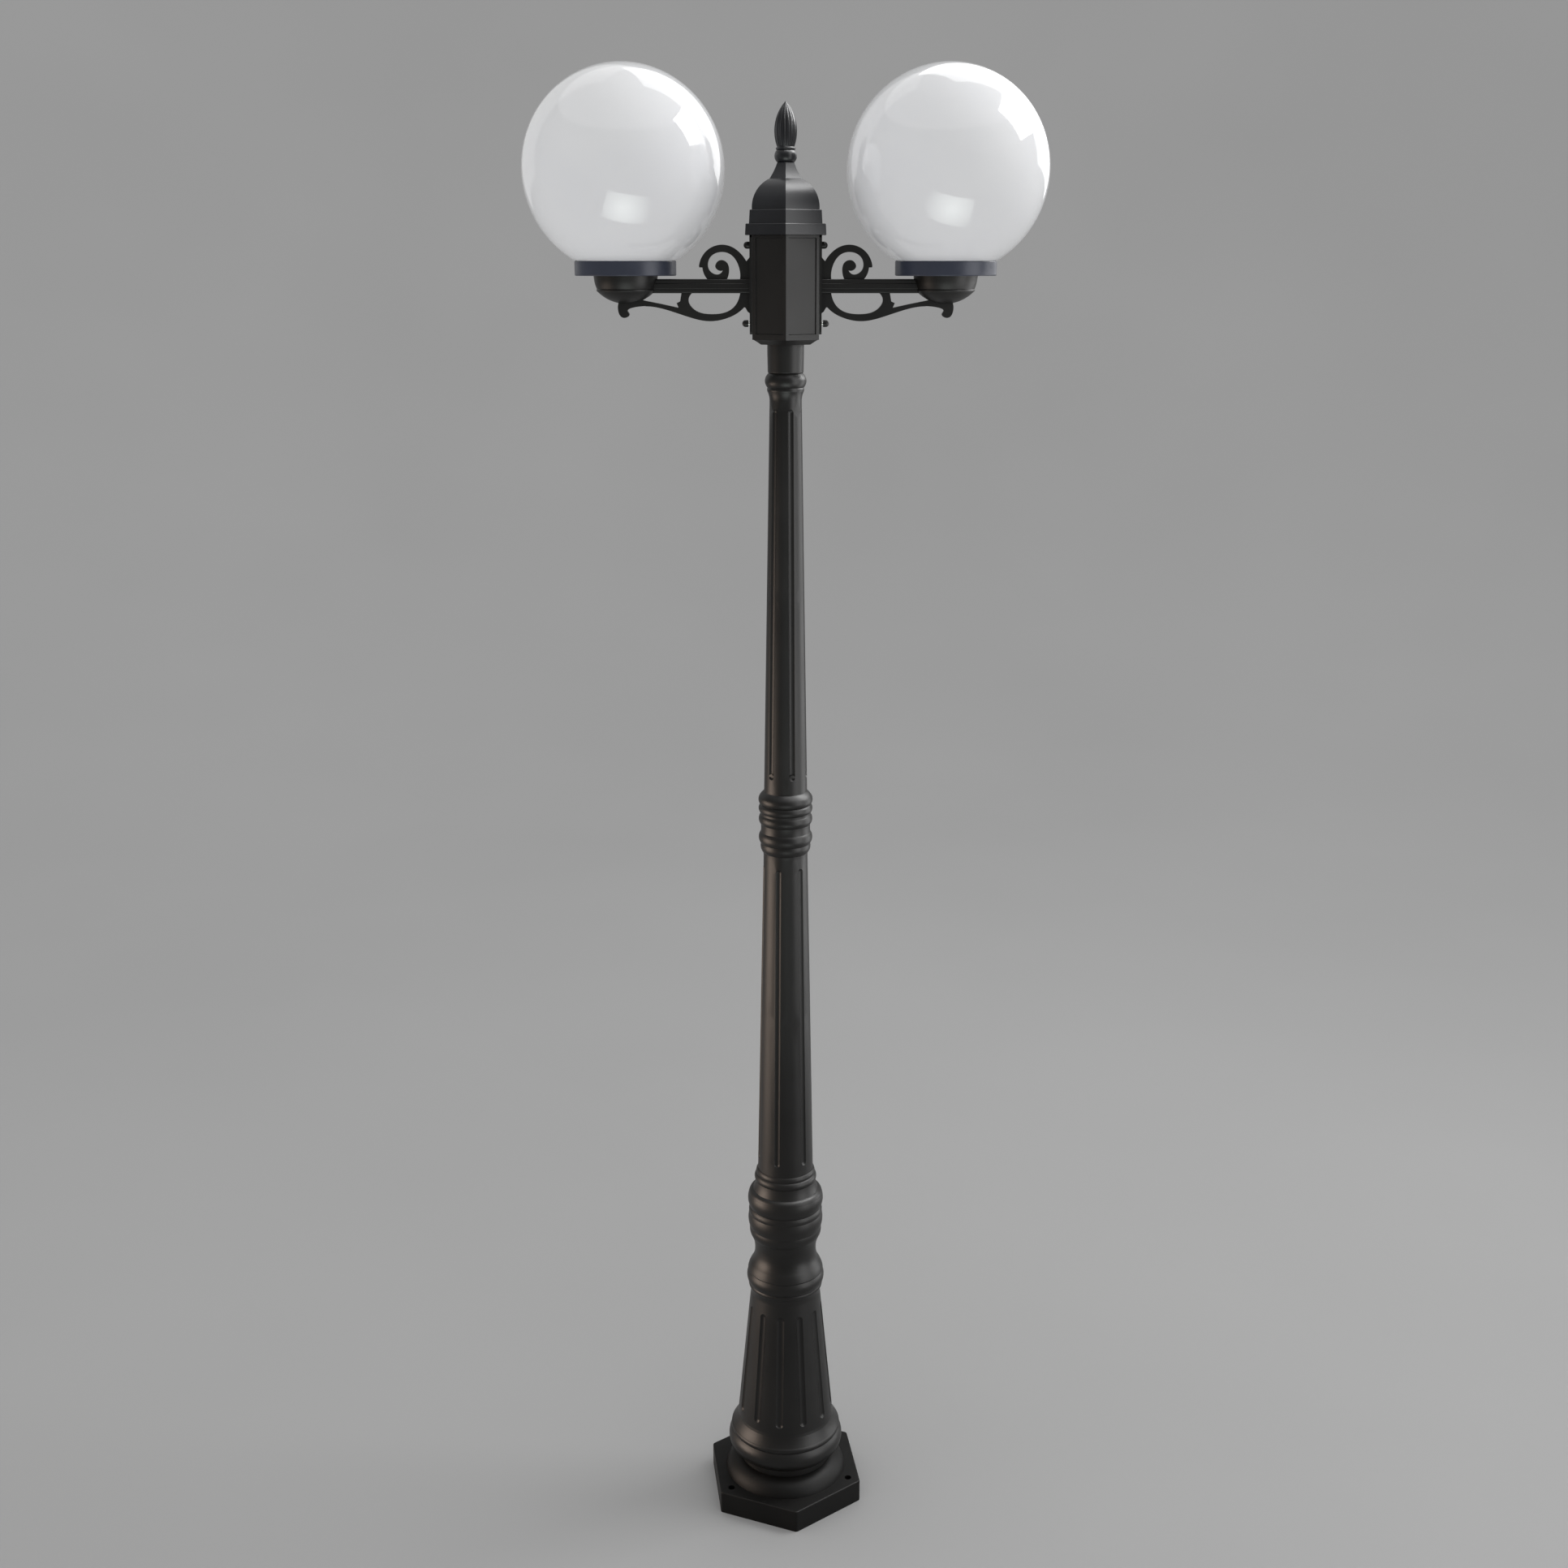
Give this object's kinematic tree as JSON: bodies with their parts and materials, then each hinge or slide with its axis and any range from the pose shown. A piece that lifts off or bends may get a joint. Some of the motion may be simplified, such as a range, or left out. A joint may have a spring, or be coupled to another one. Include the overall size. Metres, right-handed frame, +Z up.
{
  "type": "street lamp",
  "caption": "Tall turned and fluted black lamp post on a hexagonal foot, with a hexagonal head, scrolled side arms and opal globes",
  "frame": {"origin": "centre of the foot's underside, on the ground", "axes": "+Z up along the post, +X along one arm, the front faces -Y"},
  "size_m": [0.78, 0.3, 2.4018],
  "materials": {
    "black_coat": "satin black powder coat on cast aluminium",
    "collar_plastic": "satin blue-black moulded plastic",
    "opal": "glossy opal white acrylic",
    "zinc_steel": "zinc-plated steel",
    "brass": "bare brass",
    "nickel_cap": "nickel-plated brass",
    "bulb_opal": "inside-frosted glass",
    "ceramic": "white moulded insulating material",
    "rubber": "black rubber",
    "cable_sheath": "pale grey flexible sheath"
  },
  "bodies": {
    "post": {"foot_casting": "black_coat", "foot_bridge": "zinc_steel", "pedestal": "black_coat", "pedestal_capital": "black_coat", "lower_shaft": "black_coat", "middle_coupling": "black_coat", "upper_shaft": "black_coat", "neck_collar": "black_coat", "top_spigot": "black_coat", "spigot_plate": "zinc_steel", "tie_rod": "zinc_steel", "tie_rod_washers": "zinc_steel", "tie_rod_nuts": "zinc_steel"},
    "head": {"hub_base": "black_coat", "hub_housing": "black_coat", "roof_bridge": "zinc_steel", "roof_bridge_screws": "zinc_steel", "roof_rod": "zinc_steel", "roof_rod_nuts": "zinc_steel", "arm_left": "black_coat", "arm_right": "black_coat", "cup_left": "black_coat", "cup_right": "black_coat", "arm_gaskets": "rubber", "arm_studs": "zinc_steel", "arm_cap_nuts": "black_coat", "arm_inner_nuts": "zinc_steel", "terminal_bracket": "zinc_steel", "bracket_screws": "zinc_steel", "terminal_block": "ceramic", "terminal_screws": "brass", "earth_stud": "brass", "earth_nut": "brass", "lead_left": "cable_sheath", "lead_right": "cable_sheath", "lead_grommets": "rubber", "collar_left": "collar_plastic", "collar_right": "collar_plastic", "globe_gaskets": "rubber", "lampholder_left": "ceramic", "lampholder_right": "ceramic", "lampholder_shells": "brass", "lampholder_contacts": "brass", "lampholder_brackets": "zinc_steel", "collar_screws": "zinc_steel"},
    "roof": {"roof_cap": "black_coat"},
    "finial": {"finial": "black_coat"},
    "globe_left": {"globe_left": "opal"},
    "globe_right": {"globe_right": "opal"},
    "bulb_left": {"bulb_glass_left": "bulb_opal", "bulb_cap_left": "nickel_cap"},
    "bulb_right": {"bulb_glass_right": "bulb_opal", "bulb_cap_right": "nickel_cap"}
  },
  "joints": [
    {"name": "head_turn", "type": "hinge", "parent": "post", "child": "head", "pos_m": [0, 0, 2.02], "axis": [0, 0, 1], "range_deg": [-180, 180]},
    {"name": "roof_lift", "type": "slide", "parent": "head", "child": "roof", "axis": [0, 0, 1], "range_m": [0, 0.2]},
    {"name": "finial_lift", "type": "slide", "parent": "roof", "child": "finial", "axis": [0, 0, 1], "range_m": [0, 0.03]},
    {"name": "globe_left_lift", "type": "slide", "parent": "head", "child": "globe_left", "axis": [0, 0, 1], "range_m": [0, 0.3]},
    {"name": "globe_right_lift", "type": "slide", "parent": "head", "child": "globe_right", "axis": [0, 0, 1], "range_m": [0, 0.3]},
    {"name": "bulb_left_lift", "type": "slide", "parent": "head", "child": "bulb_left", "axis": [0, 0, 1], "range_m": [0, 0.04]},
    {"name": "bulb_right_lift", "type": "slide", "parent": "head", "child": "bulb_right", "axis": [0, 0, 1], "range_m": [0, 0.04]}
  ]
}
